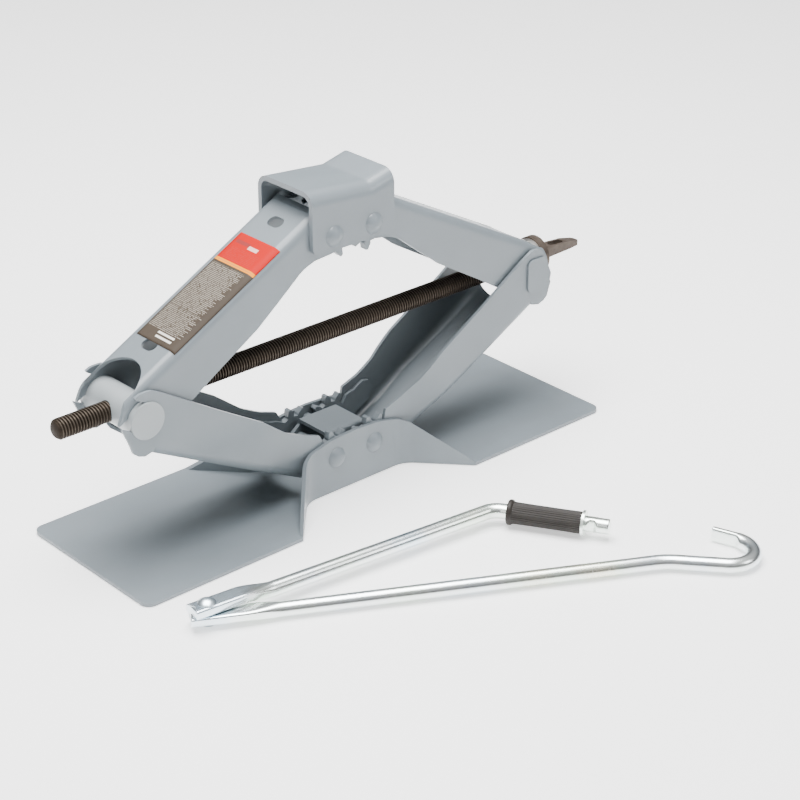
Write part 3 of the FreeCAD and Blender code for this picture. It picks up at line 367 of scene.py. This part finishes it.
def grip_piece():
    """Grip with lengthwise ribs: radius at angle a is base + rib * |cos(n a / 2)|, with a lip at
    its start."""
    length = GRIP_LENGTH * MM
    ribs, across, bore, rib = 30, 240, 6.08, 0.35
    profile = [(0.0, bore, 0.0), (0.0, 9.4, 0.0), (0.8, 10.0, 0.0), (2.6, 10.0, 0.0), (3.4, 9.6, 0.0),
               (4.2, 8.6, 0.4), (5.4, 8.25, 1.0), (20.0, 8.1, 1.0), (40.0, 8.1, 1.0), (55.0, 8.25, 1.0),
               (57.2, 8.3, 0.5), (GRIP_LENGTH, 7.8, 0.0), (GRIP_LENGTH, bore, 0.0)]
    rows = np.array(profile)
    s, base, share = (rows[:, k][:, None] for k in range(3))
    a = np.linspace(0.0, 2.0 * np.pi, across, endpoint=False)[None, :]
    radius = base + rib * share * np.abs(np.cos(ribs * a / 2.0))
    radius = radius * MM
    along = GRIP_AXIS.normalized()
    aside = along.cross(Vector((0, 0, 1))).normalized()
    up = aside.cross(along)
    o, d, e, f = (np.array(v) for v in (GRIP_START, along, aside, up))
    ring = radius[..., None] * (np.cos(a)[..., None] * e + np.sin(a)[..., None] * f)
    points = o + (s * MM)[..., None] * d + ring
    u = np.broadcast_to(s * MM / length, radius.shape)
    v = np.broadcast_to(a / (2.0 * np.pi), radius.shape)
    piece = grid_mesh("grip_ribbed", points[::-1], closed_u=True, closed_v=True,
                      uv=np.stack([u, v], axis=-1)[::-1])
    smooth(piece, 35.0)
    return piece


def label_piece():
    """Sticker over the arm's flat back and onto its near shoulder: a profile of a flat and an eighth
    of a turn, carried along the arm, a hair above the paint."""
    lean = math.atan2(LEFT_TOP_PIN.z - LEFT_TRUNNION.z, LEFT_TOP_PIN.x - LEFT_TRUNNION.x)
    down = np.array([-math.cos(lean), 0.0, -math.sin(lean)])
    out = np.array([-math.sin(lean), 0.0, math.cos(lean)])
    near = np.array([0.0, -1.0, 0.0])
    lift, half, back, shoulder = 0.25, 27.7, 23.0, 8.0
    far_edge, top_edge, bottom_edge, film = -19.0, 42.0, 154.0, 0.18
    flat_near = half - shoulder
    flat = np.linspace(far_edge, flat_near, 14)
    turn = np.linspace(0.0, math.radians(45.0), 8)[1:]
    y = np.concatenate([flat, flat_near + (shoulder + lift) * np.sin(turn)])
    v = np.concatenate([np.full(flat.shape, back + lift),
                        back - shoulder + (shoulder + lift) * np.cos(turn)])
    u = np.linspace(top_edge, bottom_edge, 57)
    pin = np.array(LEFT_TOP_PIN)
    top = pin + MM * (u[:, None, None] * down + v[None, :, None] * out + y[None, :, None] * near)
    share_u = np.broadcast_to(((u - u[0]) / (u[-1] - u[0]))[:, None], top.shape[:2])
    run = np.concatenate([[0.0], np.cumsum(np.hypot(np.diff(y), np.diff(v)))])
    share_v = np.broadcast_to((1.0 - run / run[-1])[None, :], top.shape[:2])
    piece = grid_mesh("label_film", top, uv=np.stack([share_u, share_v], axis=-1))
    smooth(piece, 60.0)
    skin = piece.modifiers.new("film", "SOLIDIFY")
    skin.thickness = film * MM
    skin.offset = -1.0
    return piece


def rod_piece(name, heading, steps, level, rise, pressed):
    """A round rod with a flat tab at its hinge.  The centre line is runs and bends in plan: its heading
    at length s is the sum of each bend's turn times the share of the bend passed.  The section is
    |b/w|^n + |z/h|^n = 1, and w, h and n go over from tab to rod by t*t*(3 - 2t)."""
    tab_end, neck, taper, radius = 13.0, 25.0, 30.0, 6.0
    tab_half, tab_half_sheet, edge_round, notch_depth, notch_reach = 7.8, 3.8, 1.2, 3.4, 5.0
    tab_power, round_power, pressed_power = 5.0, 2.0, 1.6
    end_zone, stride = 2.0, 0.8
    total = sum(length for length, turn in steps)
    s = np.concatenate([np.linspace(-tab_end, -tab_end + end_zone, 9)[:-1],
                        np.arange(-tab_end + end_zone, total - end_zone, stride),
                        np.linspace(total - end_zone, total, 9)])
    turned = np.full(s.shape, math.radians(heading))
    passed = 0.0
    for length, turn in steps:
        turned = turned + math.radians(turn) * np.clip((s - passed) / length, 0.0, 1.0)
        passed += length
    middle = (turned[1:] + turned[:-1]) / 2
    a = np.concatenate([[0.0], np.cumsum(np.diff(s) * np.cos(middle))])
    b = np.concatenate([[0.0], np.cumsum(np.diff(s) * np.sin(middle))])
    a = HINGE.x / MM + a - tab_end * math.cos(turned[0])
    b = HINGE.y / MM + b - tab_end * math.sin(turned[0])
    share = np.clip((s - neck) / taper, 0.0, 1.0)
    share = share * share * (3.0 - 2.0 * share)
    wide = tab_half + (radius - tab_half) * share
    tall = tab_half_sheet + (radius - tab_half_sheet) * share
    power = tab_power - (tab_power - round_power) * share
    for start, end, width, soft in pressed:
        press = np.clip((s - start) / soft, 0.0, 1.0) * np.clip((end - s) / soft, 0.0, 1.0)
        press = press * press * (3.0 - 2.0 * press)
        wide = wide + (width - wide) * press
        power = power + pressed_power * press
    from_end = np.minimum(s + tab_end, total - s)
    inset = np.maximum(0.0, edge_round - from_end)
    shrink = edge_round - np.sqrt(np.maximum(0.0, edge_round ** 2 - inset ** 2))
    wide, tall = wide - shrink, tall - shrink
    angle = np.linspace(0.0, 2.0 * np.pi, 40, endpoint=False)[None, :]
    c, d = np.cos(angle), np.sin(angle)
    side = wide[:, None] * np.sign(c) * np.abs(c) ** (2.0 / power[:, None])
    up = tall[:, None] * np.sign(d) * np.abs(d) ** (2.0 / power[:, None])
    notch = notch_depth * (1.0 - np.abs(side) / tab_half) * np.exp(-(s + tab_end) / notch_reach)[:, None]
    aim = turned[:, None]
    x = a[:, None] + notch * np.cos(aim) - side * np.sin(aim)
    y = b[:, None] + notch * np.sin(aim) + side * np.cos(aim)
    z = level + rise * (1.0 - share[:, None]) + up
    piece = grid_mesh(name, np.stack([x, y, z], axis=-1) * MM, closed_v=True, caps=True)
    smooth(piece, 50.0)
    return piece


def bend(radius, turn):
    """A bend as its length along the centre line and its turn."""
    return (radius * math.radians(abs(turn)), turn)


# ---------------------------------------------------------------- pieces
HINGE = Vector(joints["crank_fold"]["pos_m"])
washer_low, washer_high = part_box("grip_washer")
WASHER_MIDDLE = (Vector(washer_low) + Vector(washer_high)) / 2
GRIP_LENGTH, WASHER_HALF, WASHER_GAP = 58.0, 1.0, 0.08
GRIP_START = WASHER_MIDDLE - GRIP_AXIS.normalized() * (WASHER_HALF + WASHER_GAP + GRIP_LENGTH) * MM

dress(thread_piece(), dark_screw_steel("oiled_thread_steel"), "screw", "black_screw", "lead_screw")
dress(grip_piece(), grip_rubber("moulded_grip_rubber"), "grip", "dark_grip", "grip")
dress(label_piece(), printed_film("label_print"), "upper_arm_left", "label", "arm_label")

# A rod's steps are straights and bends in order; a pressed length is its start, end, half width
# and run-in.
LONG_ROD = [(332.0, 0.0), bend(50.0, -20.6), (36.0, 0.0), bend(20.0, 158.0), (20.0, 0.0)]
SHORT_ROD = [(246.0, 0.0), bend(16.0, -52.1), (83.2, 0.0)]
long_end = sum(length for length, turn in LONG_ROD)
short_end = sum(length for length, turn in SHORT_ROD)
hook_flat = (long_end - 26.0, long_end + 9.0, 2.6, 8.0)
tail_pinch = (short_end - 17.5, short_end - 9.0, 3.6, 3.0)
rod_plate = zinc("zinc_rod_plate")
dress(rod_piece("crank_rod_swept", heading=-28.6, steps=LONG_ROD, level=6.0, rise=1.5,
                pressed=[hook_flat]),
      rod_plate, "crank_rod", "zinc_rod", "crank_rod")
dress(rod_piece("crank_arm_swept", heading=-6.6, steps=SHORT_ROD, level=11.2, rise=4.45,
                pressed=[tail_pinch]),
      rod_plate, "crank_arm", "zinc_rod", "crank_arm")

FINISHES = {
    "grey_paint": grey_paint("satin_grey_enamel"),
    "pale_grey_paint": grey_paint("satin_grey_bar", (0.27, 0.295, 0.305)),
    "black_forging": dark_forging("scaled_forging"),
    "bright_race": ground_steel("ground_ring"),
    "zinc_small": zinc("zinc_rivet_plate", 0.22),
}
for entry in frame["record"]["subparts"]:
    material = FINISHES.get(entry["material_slot"])
    if material is None:
        continue
    node = bpy.data.objects[entry["node"]]
    if not node.material_slots:
        node.data.materials.append(material)
    for place in node.material_slots:
        place.material = material


# ---------------------------------------------------------------- studio
def floor():
    """A wide pale sheet just under the object, made to glow: painted light that keeps it near white and
    lights the object from below.
    """
    side, gap = 6.0, 0.4 * MM
    corners = np.array([[[-side, -side, 0.0], [side, -side, 0.0]], [[-side, side, 0.0], [side, side, 0.0]]])
    corners[..., 2] = -gap
    sheet = grid_mesh("studio_floor", corners)
    # The floor's emission is painted light: a glow that brightens the floor and adds light from below onto
    # the object.
    paper = Finish("pale_glowing_floor", Roughness=0.6, Emission_Color=(1.0, 1.0, 1.0, 1.0),
                   Emission_Strength=0.75)
    tone = paper.noise(paper.place(), 3.0)
    paper.feed("Base Color", paper.ramp(tone, (0.3, (0.92, 0.92, 0.92)), (0.7, (0.94, 0.94, 0.94))))
    sheet.data.materials.append(paper.material)


def lamp(name, place, target, across, power):
    light = bpy.data.lights.new(name, "AREA")
    light.shape = "RECTANGLE"
    light.size, light.size_y = across
    light.energy = power
    lantern = bpy.data.objects.new(name, light)
    lantern.location = place
    lantern.rotation_euler = (Vector(target) - Vector(place)).to_track_quat("-Z", "Y").to_euler()
    bpy.context.collection.objects.link(lantern)


def studio():
    """A world in level bands, dark just above the horizon so that bright metal has something to
    reflect, and three soft boxes."""
    world = bpy.data.worlds.new("studio_air")
    world.use_nodes = True
    air = world.node_tree.nodes["Background"]
    nodes, links = world.node_tree.nodes, world.node_tree.links
    way, split = nodes.new("ShaderNodeTexCoord"), nodes.new("ShaderNodeSeparateXYZ")
    bands = nodes.new("ShaderNodeValToRGB")
    stops = ((0.0, 0.8), (0.53, 0.9), (0.57, 0.16), (0.66, 0.20), (0.80, 0.80), (1.0, 1.4))
    while len(bands.color_ramp.elements) < len(stops):
        bands.color_ramp.elements.new(0.5)
    for element, (height, tone) in zip(bands.color_ramp.elements, stops):
        element.position, element.color = height, (tone, tone, tone, 1.0)
    half = nodes.new("ShaderNodeMath")
    half.operation = "MULTIPLY_ADD"
    half.inputs[1].default_value = half.inputs[2].default_value = 0.5
    links.new(way.outputs["Generated"], split.inputs[0])
    links.new(split.outputs["Z"], half.inputs[0])
    links.new(half.outputs[0], bands.inputs[0])
    links.new(bands.outputs[0], air.inputs["Color"])
    air.inputs["Strength"].default_value = 0.62
    bpy.context.scene.world = world
    middle = (0.0, -0.05, 0.1)
    lamp("key_box", (-0.10, 0.05, 1.8), middle, (1.5, 1.5), 120.0)
    lamp("left_box", (-1.9, -0.7, 1.0), middle, (0.5, 1.2), 4.0)
    lamp("front_box", (0.9, -1.5, 1.1), middle, (0.6, 0.6), 8.0)


def camera():
    """The view: azimuth and elevation about a point near the object's middle."""
    azimuth, elevation = math.radians(-41.8), math.radians(26.79)
    distance = 1790.7 * MM
    aim = Vector((74.3, 0.0, 36.4)) * MM
    back = Vector((math.sin(azimuth) * math.cos(elevation), -math.cos(azimuth) * math.cos(elevation),
                   math.sin(elevation)))
    lens = bpy.data.cameras.new("studio_camera")
    lens.sensor_width = 36.0
    lens.lens = 98.78
    eye = bpy.data.objects.new("studio_camera", lens)
    eye.location = aim + back * distance
    eye.rotation_euler = (-back).to_track_quat("-Z", "Y").to_euler()
    bpy.context.collection.objects.link(eye)
    bpy.context.scene.camera = eye


floor()
studio()
camera()
